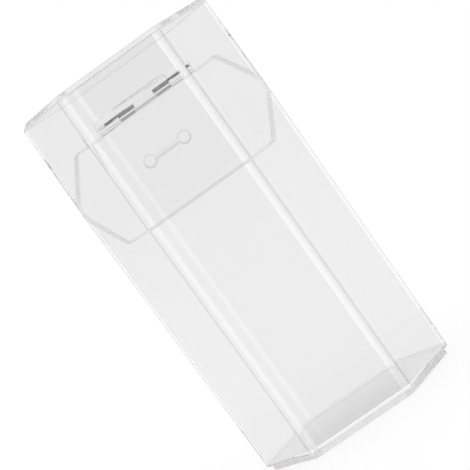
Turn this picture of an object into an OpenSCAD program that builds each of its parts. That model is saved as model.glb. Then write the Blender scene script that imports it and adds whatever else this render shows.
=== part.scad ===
// Clear flip-top storage box with an eight-sided section.
// The tube is cut in two along a stepped line, and the upper part swings back on a pinned hinge.
// The box stands on its base plate. X is its width, Y runs from the front to the back, Z is up.

/* [Section] */
// Width from side edge to side edge, at the base and at the top
case_w = 100; // [80:1:130]
// Depth from the front face to the back face, at the base and at the top
case_d = 53; // [42:1:70]
// Width of the flat front and back faces
flat_w = 53; // [48:1:62]
// Width of the narrow face along each side edge
tip_w = 4; // [3:0.5:8]
// Thickness of the tube's walls
wall = 2.2; // [1.6:0.1:4]
// Radius of the long outer corners
corner_r = 0.8; // [0.4:0.1:1.5]
// Radius of the hollow inside each front and back corner
cove_r = 7; // [2:0.5:8]
// Draft of the body's walls, which lean outwards towards the cut, in degrees
body_draft = 0.27; // [0:0.03:0.6]
// Draft of the lid's walls, which lean outwards towards the cut, in degrees
lid_draft = 0.9; // [0:0.1:1.5]

/* [Heights] */
// Height of the body's front wall
body_front_h = 122.4; // [80:0.2:160]
// How much higher the cut is across the back than across the front
cut_rise = 45.8; // [25:0.2:70]
// Height of the lid's back wall
lid_back_h = 21.3; // [14:0.1:60]
// Radius where the cut turns from level to slanting
cut_bend_r = 3; // [1:0.5:6]
// Gap between body and lid along the cut
cut_gap = 0.3; // [0.1:0.05:0.6]

/* [End plates] */
// How far the base plate stands below the tube
base_proud = 3.1; // [1:0.1:6]
// How far the base plate is let into the tube
base_let_in = 1.5; // [1:0.1:4]
// Glue gap between the base plate and the tube
glue_gap = 0.05; // [0.02:0.01:0.1]
// Thickness of the plate on top of the lid
top_t = 2.6; // [1.5:0.1:5]
// Width of the bevel round the top plate
top_bevel = 2.8; // [0.5:0.1:5]

/* [Hinge] */
// Diameter of the knuckles
knuckle_d = 7.2; // [6:0.1:9]
// Length of each outer knuckle, on the body
outer_knuckle_w = 11.3; // [8:0.1:11.4]
// Length of the middle knuckle, on the lid
mid_knuckle_w = 28.6; // [22:0.1:28.8]
// Gap between neighbouring knuckles, and between them and the lid's notch
knuckle_gap = 0.25; // [0.1:0.05:0.5]
// Gap between the knuckles and the edges above and below them
knuckle_lift = 0.15; // [0.05:0.05:0.4]
// Diameter of the pins
pin_d = 1.6; // [1:0.1:2.5]
// Length of each pin
pin_l = 16; // [12:0.5:18]
// How far each pin is sunk below the outer knuckle's end
pin_sink = 3.8; // [0:0.1:4.5]
// Radial gap round a pin in the middle knuckle, where it turns
pin_run = 0.05; // [0.02:0.01:0.1]
// Radial gap round a pin in the outer knuckle, where it is glued
pin_glue = 0.01; // [0.01:0.01:0.04]
// Extra depth of the middle knuckle's blind holes
hole_spare = 0.6; // [0.2:0.1:1.5]

/* [Thumb grip] */
// Distance between the centres of the grip's two round pads
grip_span = 17.9; // [12:0.1:26]
// Diameter of each pad
grip_pad_d = 6.4; // [4:0.1:9]
// Width of the bar that joins the pads
grip_bar_w = 2.4; // [1.5:0.1:4]
// Depth that the grip is sunk into the lid's front
grip_depth = 0.9; // [0.4:0.1:1.4]
// Height of the grip's centre above the lid's front edge
grip_h = 24; // [12:0.5:40]

/* [Hidden] */
$fn = 64;
eps = 0.01;
clear_tint = [0.92, 0.94, 0.95, 0.45];
steel_tint = [0.62, 0.63, 0.65];
tube_z = base_proud;
cut_front_z = tube_z + body_front_h;
cut_back_z = cut_front_z + cut_rise;
tube_top_z = cut_back_z + lid_back_h;
lid_h = tube_top_z - cut_front_z;
// The cut slants over the middle half of the depth
slant_y = case_d / 4;
knuckle_r = knuckle_d / 2;
// How far the drafted walls have moved outwards at the cut across the back, and along the whole tube
body_flare = (cut_back_z - tube_z) * tan(body_draft);
body_full_flare = (tube_top_z - tube_z) * tan(body_draft);
lid_full_flare = (tube_top_z - tube_z) * tan(lid_draft);
// The knuckles are flush with the inner face of the body's back wall
axis_y = case_d / 2 + body_flare - wall + knuckle_r;
axis_z = cut_back_z + knuckle_lift + knuckle_r;
notch_h = knuckle_d + 2 * knuckle_lift;
hinge_w = mid_knuckle_w + 2 * (knuckle_gap + outer_knuckle_w);
pin_r = pin_d / 2;
pin_outer_x = hinge_w / 2 - pin_sink;
mid_hole_l = mid_knuckle_w / 2 - (pin_outer_x - pin_l) + hole_spare;

// Corners of one quarter of the section, moved inwards by a distance
// The slanting side's line and the two straight faces are each moved, then crossed
function side_run() = [(case_w - flat_w) / 2, (case_d - tip_w) / 2];
function side_normal() = [side_run()[1], side_run()[0]] / norm(side_run());
function side_reach(in) = side_normal() * [flat_w / 2, case_d / 2] - in;
function face_corner(in) = [
    (side_reach(in) - side_normal()[1] * (case_d / 2 - in)) / side_normal()[0],
    case_d / 2 - in
];
function tip_corner(in) = [
    case_w / 2 - in,
    (side_reach(in) - side_normal()[0] * (case_w / 2 - in)) / side_normal()[1]
];

// Angle that each corner turns through
face_turn = atan2(side_run()[1], side_run()[0]);
tip_turn = 90 - face_turn;
arc_steps = 6;

function arc(centre, r, from_angle, to_angle) = [
    for (i = [0:arc_steps])
        let (a = from_angle + (to_angle - from_angle) * i / arc_steps)
        centre + r * [cos(a), sin(a)]
];
function backwards(list) = [for (i = [len(list) - 1:-1:0]) list[i]];
function mirrored(list, by) = [for (p = list) [p[0] * by[0], p[1] * by[1]]];

// Eight-sided outline moved inwards, with rounded face corners and tip corners
module outline(in, face_r, tip_r) {
    face_centre = face_corner(in) - face_r * [tan(face_turn / 2), 1];
    tip_centre = tip_corner(in) - tip_r * [1, tan(tip_turn / 2)];
    quarter = concat(
        arc(face_centre, face_r, 90, tip_turn),
        arc(tip_centre, tip_r, tip_turn, 0)
    );
    half = concat(quarter, backwards(mirrored(quarter, [1, -1])));
    polygon(concat(half, backwards(mirrored(half, [-1, 1]))));
}

// Solid with that outline, as tall as the tube, moved outwards by its draft at the bottom or the top
module drafted(in, face_r, tip_r, flare_low, flare_high, over = 0) {
    hull() {
        translate([0, 0, tube_z - over]) linear_extrude(eps)
            outline(in - flare_low, face_r, tip_r);
        translate([0, 0, tube_top_z + over - eps]) linear_extrude(eps)
            outline(in - flare_high, face_r, tip_r);
    }
}

// Tube before the cut, with the draft of one of its two parts
module tube(flare_low, flare_high) {
    difference() {
        drafted(0, corner_r, corner_r, flare_low, flare_high);
        drafted(wall, cove_r, corner_r / 2, flare_low, flare_high, over = 1);
    }
}

// The cut seen from the side, with an arc where it turns from level to slanting and back
slant_angle = atan2(cut_back_z - cut_front_z, 2 * slant_y);
bend_reach = cut_bend_r * tan(slant_angle / 2);
front_bend = [-slant_y - bend_reach, cut_front_z + cut_bend_r];
back_bend = [slant_y + bend_reach, cut_back_z - cut_bend_r];
cut_line = concat(
    [[-case_d, cut_front_z]],
    arc(front_bend, cut_bend_r, -90, slant_angle - 90),
    arc(back_bend, cut_bend_r, slant_angle + 90, 90),
    [[case_d, cut_back_z]]
);

// Everything above the cut, seen from the side and run across the width
module above_cut(drop = 0) {
    top = tube_top_z + case_d;
    translate([-case_w, 0, -drop]) rotate([90, 0, 90]) linear_extrude(2 * case_w)
        polygon(concat(cut_line, [[case_d, top], [-case_d, top]]));
}

module body_shell() {
    color(clear_tint) difference() {
        tube(0, body_full_flare);
        above_cut(drop = cut_gap);
    }
}

module base_plate() {
    color(clear_tint) linear_extrude(base_proud + base_let_in)
        outline(wall + glue_gap, cove_r, corner_r / 2);
}

// Dumbbell of two round pads and a bar
module grip_outline() {
    for (sx = [-1, 1]) translate([sx * grip_span / 2, 0]) circle(d = grip_pad_d);
    square([grip_span, grip_bar_w], center = true);
}

module lid_shell() {
    notch_w = hinge_w + 2 * knuckle_gap;
    grip_flare = (lid_h - grip_h) * tan(lid_draft);
    grip_floor_y = grip_depth - case_d / 2 - grip_flare;
    color(clear_tint) difference() {
        intersection() {
            tube(lid_full_flare, 0);
            above_cut();
        }
        translate([-notch_w / 2, case_d / 2 - 2 * wall, cut_back_z - cut_gap])
            cube([notch_w, 4 * wall, notch_h + cut_gap]);
        translate([0, grip_floor_y, cut_front_z + grip_h])
            rotate([90, 0, 0]) linear_extrude(grip_depth + wall) grip_outline();
    }
}

module lid_top_plate() {
    color(clear_tint) translate([0, 0, tube_top_z]) hull() {
        linear_extrude(eps) outline(0, corner_r, corner_r);
        translate([0, 0, top_t - eps]) linear_extrude(eps)
            outline(top_bevel, corner_r, corner_r);
    }
}

// Barrel along X, with a web as thick as the wall that runs up or down to its seat,
// and a hole of a given depth in each end
module knuckle(length, web_z0, web_z1, hole_r, hole_l) {
    color(clear_tint) difference() {
        union() {
            translate([-length / 2, 0, 0]) rotate([0, 90, 0]) cylinder(r = knuckle_r, h = length);
            translate([-length / 2, -knuckle_r, web_z0]) cube([length, wall, web_z1 - web_z0]);
        }
        for (sx = [-1, 1]) translate([sx * (length / 2 + 1), 0, 0])
            rotate([0, -90 * sx, 0]) cylinder(r = hole_r, h = hole_l + 1);
    }
}

// The outer knuckles stand on the body's back edge, and their holes run right through
module body_knuckle(sx) {
    translate([sx * (hinge_w - outer_knuckle_w) / 2, axis_y, axis_z])
        knuckle(outer_knuckle_w, cut_back_z - cut_gap - axis_z, 0,
            pin_r + pin_glue, outer_knuckle_w / 2 + 1);
}

module body_knuckle_left() {
    body_knuckle(-1);
}

module body_knuckle_right() {
    body_knuckle(1);
}

// The middle knuckle hangs from the lid's notch, and its holes are blind
module lid_knuckle() {
    translate([0, axis_y, axis_z])
        knuckle(mid_knuckle_w, 0, knuckle_r + knuckle_lift, pin_r + pin_run, mid_hole_l);
}

module hinge_pin(sx) {
    x0 = sx > 0 ? pin_outer_x - pin_l : -pin_outer_x;
    color(steel_tint) translate([x0, axis_y, axis_z]) rotate([0, 90, 0])
        cylinder(r = pin_r, h = pin_l);
}

module hinge_pin_left() {
    hinge_pin(-1);
}

module hinge_pin_right() {
    hinge_pin(1);
}

body_shell();
base_plate();
lid_shell();
lid_top_plate();
body_knuckle_left();
body_knuckle_right();
lid_knuckle();
hinge_pin_left();
hinge_pin_right();
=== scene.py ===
"""Clear flip-top storage box on a white ground, seen as in the photo.

The body with its base plate and outer knuckles is one clear piece, and so is
the lid with its top plate and knuckle, because coinciding faces of clear
solids would show as dark bands. The pins are the CAD nodes themselves.
"""

import math

import bmesh
import bpy
from mathutils import Matrix


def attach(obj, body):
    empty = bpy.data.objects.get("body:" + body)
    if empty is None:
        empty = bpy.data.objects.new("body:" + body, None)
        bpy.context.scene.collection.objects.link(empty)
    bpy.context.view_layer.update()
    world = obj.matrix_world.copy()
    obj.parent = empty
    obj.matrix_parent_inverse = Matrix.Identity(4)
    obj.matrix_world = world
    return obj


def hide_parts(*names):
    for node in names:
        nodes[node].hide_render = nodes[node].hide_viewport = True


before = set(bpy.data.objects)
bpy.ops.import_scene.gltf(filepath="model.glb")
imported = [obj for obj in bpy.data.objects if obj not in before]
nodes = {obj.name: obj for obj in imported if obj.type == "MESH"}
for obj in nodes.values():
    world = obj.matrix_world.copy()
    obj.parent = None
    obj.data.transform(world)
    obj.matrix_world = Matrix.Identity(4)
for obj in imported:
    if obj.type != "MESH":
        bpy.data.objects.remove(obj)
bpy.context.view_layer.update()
scene = bpy.context.scene

# Camera, fitted to the photo, with its turns in degrees
IMAGE_PX, LENS_MM, SENSOR_MM = 470, 95.52, 36.0
CAMERA_POS = (0.045336, -0.55992, 0.152995)
CAMERA_PAN, CAMERA_TILT, CAMERA_ROLL = 4.621, 5.388, 35.53
CAMERA_REACH = 50
# With fewer bounces, light caught in the clear walls would end black
BOUNCES, TRANSPARENT_BOUNCES = 64, 16
# Room and ground in metres: what mirrors see of the room, and where the ground fades to that
ROOM_MIRROR, FADE_REACH = 0.5, (0.1, 1.7)
GROUND_GLOW, GROUND_WHITE = 0.85, 1.01
GROUND_HALF_W, GROUND_FRONT, GROUND_BACK, GROUND_Z = 3, -2, 3, -0.0003
# Painted shade on the knuckles' undersides with a painted reflection of the pins in them, and
# painted shade on the body's floor, and where they change, in metres
UNDERSIDE_SHADE, OUTER_PIN_REFLECTION, INNER_PIN_REFLECTION = 0.38, 0.22, 0.15
PIN_INNER_END, PIN_OUTER_END = (0.0060, 0.0064), (0.0219, 0.0223)
FLOOR_SHADE_TINT, FLOOR_SHADE_FADE_Y, FLOOR_SHADE_FADE_X = 0.72, (-0.022, 0.022), (0.022, 0.030)
# Lower refraction where total reflection would be too strong, and the sawn faces' satin
TIP_IOR, TOP_IOR, SAWN_ROUGH = 1.3, 1.2, 0.15

# Sizes in millimetres, the same as the CAD part's
MM = 0.001
CASE_W, CASE_D, FLAT_W, TIP_W = 100.0, 53.0, 53.0, 4.0
WALL, CORNER_R, COVE_R = 2.2, 0.8, 7.0
BODY_DRAFT, LID_DRAFT = 0.27, 0.9
TUBE_Z, FLOOR_TOP_Z = 3.1, 4.6
CUT_FRONT_Z, CUT_BACK_Z, CUT_BEND_R, CUT_GAP = 125.5, 171.3, 3.0, 0.3
TUBE_TOP_Z, TOP_T, TOP_BEVEL = 192.6, 2.6, 2.8
NOTCH_W, NOTCH_H, NOTCH_START = 52.2, 7.5, 1
HINGE_Y, HINGE_Z, BORE_NEAR = 28.6926, 175.05, 1.2
GRIP_SPAN, GRIP_PAD_D, GRIP_BAR_W, GRIP_DEPTH, GRIP_H = 17.9, 6.4, 2.4, 0.9, 24.0
# Rounding of the edges, and how finely corners and the cut's bends are divided
EDGE_R, RIM_R = 0.25, 0.45
COVE_STEPS, LIT_STEPS, TIP_STEPS = 12, 5, 6
BEND_W, GRIP_SLOPE = 0.5, 1.0
PAD_STEPS, CUT_REFINES, SMOOTH_DEG = 40, 6, 35
SIDE_YS = (15.4, 15.0, 14.6, 14.2, 13.8, 13.4, 13.0, 12.6, 12.2, 11.8, 11.4, 11.0)
# How far a knuckle's seat goes into what carries it, and what counts as seat, below, top and bore
WELD, SEAT_NEAR, SAME_POINT = 0.4, 0.02, 0.001
BELOW_FACING, TOP_FACING, BORE_FACING = -0.6, 0.4, 0.5


# Materials


def new_material(name):
    mat = bpy.data.materials.new(name)
    mat.use_nodes = True
    return mat, mat.node_tree.nodes["Principled BSDF"]


def clear(name, tint, ior=1.49, rough=0.02):
    mat, shader = new_material(name)
    shader.inputs["Base Color"].default_value = (tint, tint, tint, 1.0)
    shader.inputs["Roughness"].default_value = rough
    shader.inputs["IOR"].default_value = ior
    shader.inputs["Transmission Weight"].default_value = 1.0
    return mat


def drilled_bore():
    """Matt wall that a drill leaves in clear plastic."""
    mat, shader = new_material("drilled_bore")
    shader.inputs["Base Color"].default_value = (0.95, 0.95, 0.95, 1.0)
    shader.inputs["Roughness"].default_value = 0.5
    shader.inputs["Transmission Weight"].default_value = 0.1
    return mat


def pin_steel():
    mat, shader = new_material("pin_steel")
    shader.inputs["Base Color"].default_value = (0.25, 0.25, 0.26, 1.0)
    shader.inputs["Metallic"].default_value = 1.0
    shader.inputs["Roughness"].default_value = 0.3
    return mat


def value_node(tree, kind, *inputs):
    node = tree.nodes.new("ShaderNodeMath")
    node.operation = kind
    for socket, item in zip(node.inputs, inputs):
        if isinstance(item, (int, float)):
            socket.default_value = item
        else:
            tree.links.new(item, socket)
    return node.outputs[0]


def object_place(tree):
    """Outputs X, Y and Z of a node that gives each point in the object's own axes."""
    place = tree.nodes.new("ShaderNodeTexCoord")
    parts = tree.nodes.new("ShaderNodeSeparateXYZ")
    tree.links.new(place.outputs["Object"], parts.inputs["Vector"])
    return parts.outputs


def set_tint(mat, tint):
    tree = mat.node_tree
    tree.links.new(tint, tree.nodes["Principled BSDF"].inputs["Base Color"])
    return mat


def painted_floor_shade():
    """Floor of the body with painted shade, darkest near the middle of its front and lighter to
    its back and sides.
    """
    mat = clear("clear_plastic_floor_shade", FLOOR_SHADE_TINT)
    tree = mat.node_tree
    place = object_place(tree)
    aside = value_node(tree, "ABSOLUTE", place["X"])
    back = map_range(tree, place["Y"], FLOOR_SHADE_FADE_Y, (FLOOR_SHADE_TINT, 1.0))
    side = map_range(tree, aside, FLOOR_SHADE_FADE_X, (FLOOR_SHADE_TINT, 1.0))
    return set_tint(mat, value_node(tree, "MAXIMUM", back, side))


def painted_underside_shade(name, pin_end, tints):
    """Underside of a knuckle with painted shade, darker where a painted reflection of the pin
    stands for the pin mirroring in it.

    The first tint holds on the side of the pin's end that faces the middle of the box.
    """
    mat = clear(name, UNDERSIDE_SHADE)
    tree = mat.node_tree
    aside = value_node(tree, "ABSOLUTE", object_place(tree)["X"])
    return set_tint(mat, map_range(tree, aside, pin_end, tints))


def map_range(tree, value, given, wanted):
    node = tree.nodes.new("ShaderNodeMapRange")
    for socket, number in zip(("From Min", "From Max", "To Min", "To Max"), given + wanted):
        node.inputs[socket].default_value = number
    tree.links.new(value, node.inputs["Value"])
    return node.outputs["Result"]


def mirror_level(tree, level):
    """Strength 1, or the given level for rays that the object's surface reflects."""
    path = tree.nodes.new("ShaderNodeLightPath").outputs
    mirror = value_node(tree, "SUBTRACT", path["Is Glossy Ray"], path["Is Transmission Ray"])
    change = value_node(tree, "SUBTRACT", level, 1.0)
    return value_node(tree, "MULTIPLY_ADD", mirror, change, 1.0)


def stage_white(name, glow):
    """White ground that keeps part of the shadow on it, and fades far away."""
    mat = bpy.data.materials.new(name)
    mat.use_nodes = True
    tree = mat.node_tree
    tree.nodes.clear()
    out = tree.nodes.new("ShaderNodeOutputMaterial")
    lit = tree.nodes.new("ShaderNodeBsdfDiffuse")
    white = GROUND_WHITE - glow
    lit.inputs["Color"].default_value = (white, white, white, 1.0)
    own = tree.nodes.new("ShaderNodeEmission")
    place = tree.nodes.new("ShaderNodeNewGeometry")
    away = tree.nodes.new("ShaderNodeVectorMath")
    away.operation = "LENGTH"
    tree.links.new(place.outputs["Position"], away.inputs[0])
    faded = map_range(tree, away.outputs["Value"], FADE_REACH, (1.0, ROOM_MIRROR))
    level = mirror_level(tree, faded)
    tree.links.new(value_node(tree, "MULTIPLY", level, glow), own.inputs["Strength"])
    both = tree.nodes.new("ShaderNodeAddShader")
    tree.links.new(lit.outputs[0], both.inputs[0])
    tree.links.new(own.outputs[0], both.inputs[1])
    tree.links.new(both.outputs[0], out.inputs["Surface"])
    return mat


CLEAR = clear("clear_plastic", 1.0)
# Painted shade: the inner faces are tinted darker than the outer ones
INSIDE_SHADE = clear("clear_plastic_inside_shade", 0.85)
# Painted shade on the rims and edges, which look darker in clear plastic
EDGE_SHADE = clear("clear_plastic_edge_shade", 0.7)
# Painted shade on the outer tips, darker on the body than on the lid
BODY_TIP_SHADE = clear("clear_plastic_body_tip_shade", 0.45, TIP_IOR)
LID_TIP_SHADE = clear("clear_plastic_lid_tip_shade", 0.75, TIP_IOR)
# Painted shade on the front sides of the base plate and the wall just above it, and on the front
# of the cut's rounded edges
JOINT_SHADE = clear("clear_plastic_joint_shade", 0.58)
# Painted shade on the knuckles' round sides, lighter on their tops, as the tops catch more light
KNUCKLE = clear("clear_plastic_knuckle", 0.88)
KNUCKLE_LIT_TOP = clear("clear_plastic_knuckle_lit_top", 0.92, TOP_IOR)
# Painted highlight on the body's inner back coves, tinted lighter than the other inner faces
BODY_COVE_HIGHLIGHT = clear("clear_plastic_body_cove_highlight", 0.94)
SATIN = clear("clear_plastic_satin", 0.94, rough=SAWN_ROUGH)
FLOOR_SHADE = painted_floor_shade()
BODY_UNDERSIDE_SHADE = painted_underside_shade(
    "clear_plastic_body_underside_shade", PIN_OUTER_END, (OUTER_PIN_REFLECTION, UNDERSIDE_SHADE)
)
LID_UNDERSIDE_SHADE = painted_underside_shade(
    "clear_plastic_lid_underside_shade", PIN_INNER_END, (UNDERSIDE_SHADE, INNER_PIN_REFLECTION)
)
# Painted shade on the wide inner faces, darker in the lid than in the body
BODY_WIDE_SHADE = clear("clear_plastic_body_wide_shade", 0.835)
LID_WIDE_SHADE = clear("clear_plastic_lid_wide_shade", 0.79)
BORE = drilled_bore()
STEEL = pin_steel()

for name, obj in nodes.items():
    obj.data.materials.clear()
    obj.data.materials.append(STEEL if name.startswith("hinge_pin") else CLEAR)


# Shape of the tube, in millimetres, as in the CAD part


def arc(cx, cy, r, from_deg, to_deg, steps):
    turn = [math.radians(from_deg + (to_deg - from_deg) * i / steps) for i in range(steps + 1)]
    return [(cx + r * math.cos(a), cy + r * math.sin(a)) for a in turn]


RUN_X, RUN_Y = (CASE_W - FLAT_W) / 2, (CASE_D - TIP_W) / 2
SIDE_NX = RUN_Y / math.hypot(RUN_X, RUN_Y)
SIDE_NY = RUN_X / math.hypot(RUN_X, RUN_Y)
FACE_TURN = math.degrees(math.atan2(RUN_Y, RUN_X))
TIP_TURN = 90 - FACE_TURN
SLANT_Y = CASE_D / 4


def quarter(inset, face_r, tip_r):
    """Outline from the middle of the back face to the right tip, moved inwards.

    The marks say what the stretch after each point is.
    """
    reach = SIDE_NX * FLAT_W / 2 + SIDE_NY * CASE_D / 2 - inset
    face_x = (reach - SIDE_NY * (CASE_D / 2 - inset)) / SIDE_NX
    tip_y = (reach - SIDE_NX * (CASE_W / 2 - inset)) / SIDE_NY
    pts = arc(
        face_x - face_r * math.tan(math.radians(FACE_TURN / 2)),
        CASE_D / 2 - inset - face_r, face_r, 90, TIP_TURN, COVE_STEPS,
    )
    pts.append((pts[-1][0] + BEND_W * SIDE_NY, pts[-1][1] - BEND_W * SIDE_NX))
    marks = ["cove"] * LIT_STEPS + ["bend"] * (COVE_STEPS - LIT_STEPS + 1) + ["side"]
    for y in SIDE_YS:
        pts.append(((reach - SIDE_NY * y) / SIDE_NX, y))
        marks.append("side")
    pts += arc(
        CASE_W / 2 - inset - tip_r,
        tip_y - tip_r * math.tan(math.radians(TIP_TURN / 2)), tip_r, TIP_TURN, 0, TIP_STEPS,
    )
    marks += ["tip"] * TIP_STEPS + ["narrow"]
    return pts, marks


def outline(inset, face_r, tip_r):
    """Whole outline, counterclockwise from the right tip, with the mark after each point."""
    pts, marks = quarter(inset, face_r, tip_r)
    loop, kinds = [], []
    for to_x, to_y, towards_tip in ((1, 1, False), (-1, 1, True), (-1, -1, False), (1, -1, True)):
        order = range(len(pts))
        for i in order if towards_tip else reversed(order):
            loop.append((to_x * pts[i][0], to_y * pts[i][1]))
            kinds.append(marks[i] if towards_tip else marks[i - 1] if i else "face")
    return loop, kinds


def cut_height(y):
    """Height of the cut at a depth, with an arc at each bend."""
    slope = math.atan2(CUT_BACK_Z - CUT_FRONT_Z, 2 * SLANT_Y)
    reach = CUT_BEND_R * math.tan(slope / 2)
    for sign, level in ((-1, CUT_FRONT_Z), (1, CUT_BACK_Z)):
        d = sign * y - SLANT_Y
        if d >= reach:
            return level
        if d > reach - CUT_BEND_R * math.sin(slope):
            sag = CUT_BEND_R - math.sqrt(CUT_BEND_R**2 - (reach - d) ** 2)
            return level - sign * sag
    return (CUT_FRONT_Z + CUT_BACK_Z) / 2 + y * math.tan(slope)


def body_flare(z):
    return (z - TUBE_Z) * math.tan(math.radians(BODY_DRAFT))


def lid_flare(z):
    return (TUBE_TOP_Z - z) * math.tan(math.radians(LID_DRAFT))


def level_loop(inset, face_r, tip_r, z, flare=None):
    out = flare(z) if flare else 0
    return [(x, y, z) for x, y in outline(inset - out, face_r, tip_r)[0]]


def cut_loop(inset, face_r, tip_r, above, flare):
    """Loop that follows the cut at a distance above or below it.

    The draft moves each point along a straight line, so the height is found in steps.
    """
    low = outline(inset - flare(TUBE_Z), face_r, tip_r)[0]
    high = outline(inset - flare(TUBE_TOP_Z), face_r, tip_r)[0]
    loop = []
    for (x0, y0), (x1, y1) in zip(low, high):
        z = (CUT_FRONT_Z + CUT_BACK_Z) / 2
        for _ in range(CUT_REFINES):
            t = (z - TUBE_Z) / (TUBE_TOP_Z - TUBE_Z)
            x, y = x0 + (x1 - x0) * t, y0 + (y1 - y0) * t
            z = cut_height(y) + above
        loop.append((x, y, z))
    return loop


# Meshes


def loft(name, loops, skins, mats):
    """Closed solid through loops of equally many points, capped at both ends.

    The skins name the first cap, each band between two loops, and the last cap.
    """
    kinds = outline(0, CORNER_R, CORNER_R)[1]
    n = len(loops[0])
    verts = [tuple(c * MM for c in p) for loop in loops for p in loop]
    faces, slots = [tuple(reversed(range(n)))], [skins[0]]
    for k in range(len(loops) - 1):
        for i in range(n):
            j = (i + 1) % n
            faces.append((k * n + i, k * n + j, (k + 1) * n + j, (k + 1) * n + i))
            slots.append(skin_at(skins[k + 1], kinds[i], loops[k][i][1] < 0))
    last = (len(loops) - 1) * n
    faces.append(tuple(last + i for i in range(n)))
    slots.append(skins[-1])
    return solid(name, verts, faces, slots, mats)


def skin_at(skin, kind, front):
    """Material slot for a skin on one kind of stretch, with painted shade where some edges show
    darker and a painted highlight on the inner coves.
    """
    if skin == INNER:
        # Painted highlight: the inner coves take lighter tints than the rest of the inside
        return {"cove": OUTER if front else BACK, "face": WIDE}.get(kind, INNER)
    if skin == OUTER:
        if kind == "tip":
            return TIPS
        return RIM if front and kind in ("cove", "bend") else OUTER
    if skin in (JOINT, PLATE):
        if kind == "side" and front:
            return JOINT
        return INNER if skin == JOINT or (kind == "face" and front) else RIM
    if skin == CUT:
        return JOINT if kind == "face" and front else RIM
    return INNER if skin == EVEN else skin


def add_object(name, mesh):
    obj = bpy.data.objects.new(name, mesh)
    scene.collection.objects.link(obj)
    return obj


def fill_slots(mesh, mats):
    mesh.materials.clear()
    for slot in sorted(mats):
        mesh.materials.append(mats[slot])


def solid(name, verts, faces, slots, mats):
    mesh = bpy.data.meshes.new(name)
    mesh.from_pydata(verts, [], faces)
    fill_slots(mesh, mats)
    for face, slot in zip(mesh.polygons, slots):
        face.material_index = slot
    mesh.validate()
    return add_object(name, mesh)


def prism(name, ends, place, sides, cap, mats):
    """Solid between two flat outlines, each with its height, that a function puts in place."""
    n = len(ends[0][1])
    verts = [tuple(c * MM for c in place(x, y, z)) for z, points in ends for x, y in points]
    faces = [tuple(reversed(range(n))), tuple(range(n, 2 * n))]
    faces += [(i, (i + 1) % n, n + (i + 1) % n, n + i) for i in range(n)]
    return solid(name, verts, faces, [cap] * 2 + sides, mats)


def knuckle_slot(face, slot):
    """Slot of a knuckle's face: in the bore, below with painted shade, on top with a lighter
    painted tint, or the given one.
    """
    off_axis = math.hypot(face.center.y - HINGE_Y * MM, face.center.z - HINGE_Z * MM)
    if off_axis < BORE_NEAR * MM and abs(face.normal.x) < BORE_FACING:
        return DRILLED
    if face.normal.z < BELOW_FACING:
        return UNDER
    return CROWN if face.normal.z > TOP_FACING else slot


def node_copy(node, slot, mats, seat_z, shift):
    """Copy of a CAD node with its seat moved into what carries it, so that both weld."""
    mesh = bmesh.new()
    mesh.from_mesh(nodes[node].data)
    bmesh.ops.remove_doubles(mesh, verts=mesh.verts, dist=SAME_POINT * MM)
    for v in mesh.verts:
        if abs(v.co.z - seat_z * MM) < SEAT_NEAR * MM:
            v.co.z += shift * MM
    data = bpy.data.meshes.new(node + "_welded")
    mesh.to_mesh(data)
    mesh.free()
    fill_slots(data, mats)
    for face in data.polygons:
        face.material_index = knuckle_slot(face, slot)
    return add_object(node + "_welded", data)


def combine(obj, tool, operation):
    """Joins a tool to the solid or cuts it away, and removes the tool."""
    mod = obj.modifiers.new("combine", "BOOLEAN")
    mod.operation = operation
    mod.solver = "EXACT"
    mod.object = tool
    apply_modifiers(obj)
    bpy.data.objects.remove(tool)


def apply_modifiers(obj):
    bpy.context.view_layer.update()
    graph = bpy.context.evaluated_depsgraph_get()
    mesh = bpy.data.meshes.new_from_object(obj.evaluated_get(graph))
    obj.modifiers.clear()
    obj.data = mesh


def smooth(obj, angle):
    """Smooth shading across gentle turns only, with flat faces kept flat."""
    obj.data.polygons.foreach_set("use_smooth", [True] * len(obj.data.polygons))
    obj.data.set_sharp_from_angle(angle=math.radians(angle))
    mod = obj.modifiers.new("normals", "WEIGHTED_NORMAL")
    mod.keep_sharp = True
    apply_modifiers(obj)


def stand_for(obj, body, *replaced):
    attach(obj, body)
    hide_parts(*replaced)


# The body with its base plate and outer knuckles, as one clear piece

B, R = EDGE_R, RIM_R
INNER_TIP_R = CORNER_R / 2
# Material slots of both pieces, and three skins that skin_at gives such slots
OUTER, INNER, RIM, JOINT, TIPS, WIDE, DRILLED, UNDER, ROUND, SAWN, GROUND, BACK, CROWN = range(13)
EVEN, PLATE, CUT = range(13, 16)
SHARED_SKINS = {
    OUTER: CLEAR, INNER: INSIDE_SHADE, RIM: EDGE_SHADE, JOINT: JOINT_SHADE, ROUND: KNUCKLE, CROWN: KNUCKLE_LIT_TOP,
}
BODY_SKINS = SHARED_SKINS | {
    TIPS: BODY_TIP_SHADE, WIDE: BODY_WIDE_SHADE, BACK: BODY_COVE_HIGHLIGHT, DRILLED: KNUCKLE, UNDER: BODY_UNDERSIDE_SHADE,
    SAWN: CLEAR, GROUND: FLOOR_SHADE,
}
LID_SKINS = SHARED_SKINS | {
    TIPS: LID_TIP_SHADE, WIDE: LID_WIDE_SHADE, BACK: CLEAR, DRILLED: BORE, UNDER: LID_UNDERSIDE_SHADE,
    SAWN: SATIN, GROUND: CLEAR,
}


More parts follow.
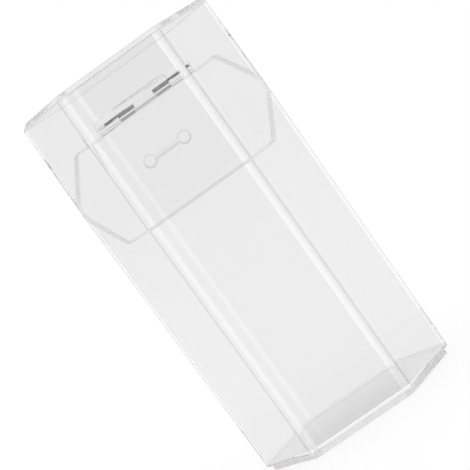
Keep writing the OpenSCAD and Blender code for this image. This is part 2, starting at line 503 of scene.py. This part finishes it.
def body_piece():
    def outer(inset, z):
        return level_loop(inset, CORNER_R, CORNER_R, z, body_flare)

    def inner(inset, z):
        return level_loop(WALL + inset, COVE_R, INNER_TIP_R, z, body_flare)

    top = -CUT_GAP
    loops = [
        level_loop(WALL + B, COVE_R, INNER_TIP_R, 0),
        level_loop(WALL, COVE_R, INNER_TIP_R, B),
        level_loop(WALL, COVE_R, INNER_TIP_R, TUBE_Z),
        outer(B, TUBE_Z),
        outer(0, TUBE_Z + B),
        outer(0, FLOOR_TOP_Z),
        cut_loop(0, CORNER_R, CORNER_R, top - R, body_flare),
        cut_loop(R / 2, CORNER_R, CORNER_R, top, body_flare),
        cut_loop(WALL - R / 2, COVE_R, INNER_TIP_R, top, body_flare),
        cut_loop(WALL, COVE_R, INNER_TIP_R, top - R, body_flare),
        inner(0, FLOOR_TOP_Z + B),
        inner(B, FLOOR_TOP_Z),
    ]
    # Painted shade: the bottom face, most of the base plate's edges and the cut's rounded edges
    # take the edge shade
    skins = [RIM, PLATE, PLATE, EVEN, EVEN, JOINT, OUTER, CUT, EVEN, CUT, INNER, GROUND, GROUND]
    obj = loft("body_clear", loops, skins, BODY_SKINS)
    for node in ("body_knuckle_left", "body_knuckle_right"):
        combine(obj, node_copy(node, ROUND, BODY_SKINS, CUT_BACK_Z - CUT_GAP, -WELD), "UNION")
    smooth(obj, SMOOTH_DEG)
    stand_for(obj, "body", "body_shell", "base_plate", "body_knuckle_left", "body_knuckle_right")


def grip_points(grow):
    pad_r, bar = GRIP_PAD_D / 2 + grow, GRIP_BAR_W / 2 + grow
    half = math.degrees(math.asin(bar / pad_r))
    right = arc(GRIP_SPAN / 2, 0, pad_r, half - 180, 180 - half, PAD_STEPS)
    left = arc(-GRIP_SPAN / 2, 0, pad_r, half, 360 - half, PAD_STEPS)
    return right + left


def notch_tool():
    """Block that cuts the hinge's notch out of the lid's back edge."""
    half, near, far = NOTCH_W / 2, CASE_D / 2 - 2 * WALL, CASE_D / 2 + 2 * WALL
    corners = [(-half, near), (half, near), (half, far), (-half, far)]
    ends = [(CUT_BACK_Z - NOTCH_START, corners), (CUT_BACK_Z + NOTCH_H, corners)]
    return prism("notch", ends, lambda x, y, z: (x, y, z), [SAWN] * 4, SAWN, LID_SKINS)


def grip_tool():
    """Dumbbell with sloping walls that sinks the grip into the lid's front."""
    middle_z = CUT_FRONT_Z + GRIP_H
    floor_y = GRIP_DEPTH - CASE_D / 2 - lid_flare(middle_z)
    ends = [(0, grip_points(-GRIP_SLOPE)), (2 * GRIP_DEPTH, grip_points(GRIP_SLOPE))]
    # Painted shade on the lower half of the grip's walls, the upper half takes the inside tint
    walls = [RIM if y < 0 else INNER for x, y in grip_points(0)]
    return prism(
        "grip", ends, lambda x, y, z: (x, floor_y - z, middle_z + y), walls, OUTER, LID_SKINS,
    )


def lid_piece():
    def outer(inset, z):
        return level_loop(inset, CORNER_R, CORNER_R, z, lid_flare)

    def inner(inset, z):
        return level_loop(WALL + inset, COVE_R, INNER_TIP_R, z, lid_flare)

    top_z = TUBE_TOP_Z + TOP_T
    loops = [
        inner(B, TUBE_TOP_Z),
        inner(0, TUBE_TOP_Z - B),
        cut_loop(WALL, COVE_R, INNER_TIP_R, R, lid_flare),
        cut_loop(WALL - R / 2, COVE_R, INNER_TIP_R, 0, lid_flare),
        cut_loop(R / 2, CORNER_R, CORNER_R, 0, lid_flare),
        cut_loop(0, CORNER_R, CORNER_R, R, lid_flare),
        outer(0, TUBE_TOP_Z - B),
        level_loop(B, CORNER_R, CORNER_R, TUBE_TOP_Z + B),
        level_loop(TOP_BEVEL - B, CORNER_R, CORNER_R, top_z - B),
        level_loop(TOP_BEVEL + B, CORNER_R, CORNER_R, top_z),
    ]
    # Painted shade on the rounded rims around the top bevel and on most of the cut's rounded
    # edges
    skins = [INNER, INNER, INNER, CUT, EVEN, CUT, OUTER, RIM, SAWN, RIM, OUTER]
    obj = loft("lid_clear", loops, skins, LID_SKINS)
    combine(obj, notch_tool(), "DIFFERENCE")
    combine(obj, grip_tool(), "DIFFERENCE")
    seat_z = CUT_BACK_Z + NOTCH_H
    combine(obj, node_copy("lid_knuckle", ROUND, LID_SKINS, seat_z, WELD), "UNION")
    smooth(obj, SMOOTH_DEG)
    stand_for(obj, "lid", "lid_shell", "lid_top_plate", "lid_knuckle")


body_piece()
lid_piece()


# Stage


def ground():
    left, right = -GROUND_HALF_W, GROUND_HALF_W
    mesh = bpy.data.meshes.new("floor")
    corners = [
        (left, GROUND_FRONT, GROUND_Z), (right, GROUND_FRONT, GROUND_Z),
        (right, GROUND_BACK, GROUND_Z), (left, GROUND_BACK, GROUND_Z),
    ]
    mesh.from_pydata(corners, [], [(0, 1, 2, 3)])
    mesh.materials.append(stage_white("floor_white", GROUND_GLOW))
    add_object("floor", mesh)


ground()


# Light


def world_light():
    world = bpy.data.worlds.new("studio")
    scene.world = world
    world.use_nodes = True
    tree = world.node_tree
    background = tree.nodes["Background"]
    tree.links.new(mirror_level(tree, ROOM_MIRROR), background.inputs["Strength"])
    background.inputs["Color"].default_value = (1.0, 1.0, 1.0, 1.0)


world_light()


# Camera


def place_camera():
    data = bpy.data.cameras.new("camera")
    data.lens = LENS_MM
    data.sensor_width = SENSOR_MM
    data.clip_end = CAMERA_REACH
    camera = add_object("camera", data)
    turn = (
        Matrix.Rotation(math.radians(CAMERA_PAN), 4, "Z")
        @ Matrix.Rotation(math.radians(90 - CAMERA_TILT), 4, "X")
        @ Matrix.Rotation(math.radians(-CAMERA_ROLL), 4, "Z")
    )
    camera.matrix_world = Matrix.Translation(CAMERA_POS) @ turn
    scene.camera = camera


place_camera()
scene.render.resolution_x = IMAGE_PX
scene.render.resolution_y = IMAGE_PX
scene.view_settings.view_transform = "Standard"
scene.cycles.max_bounces = BOUNCES
scene.cycles.glossy_bounces = BOUNCES
scene.cycles.transmission_bounces = BOUNCES
scene.cycles.transparent_max_bounces = TRANSPARENT_BOUNCES
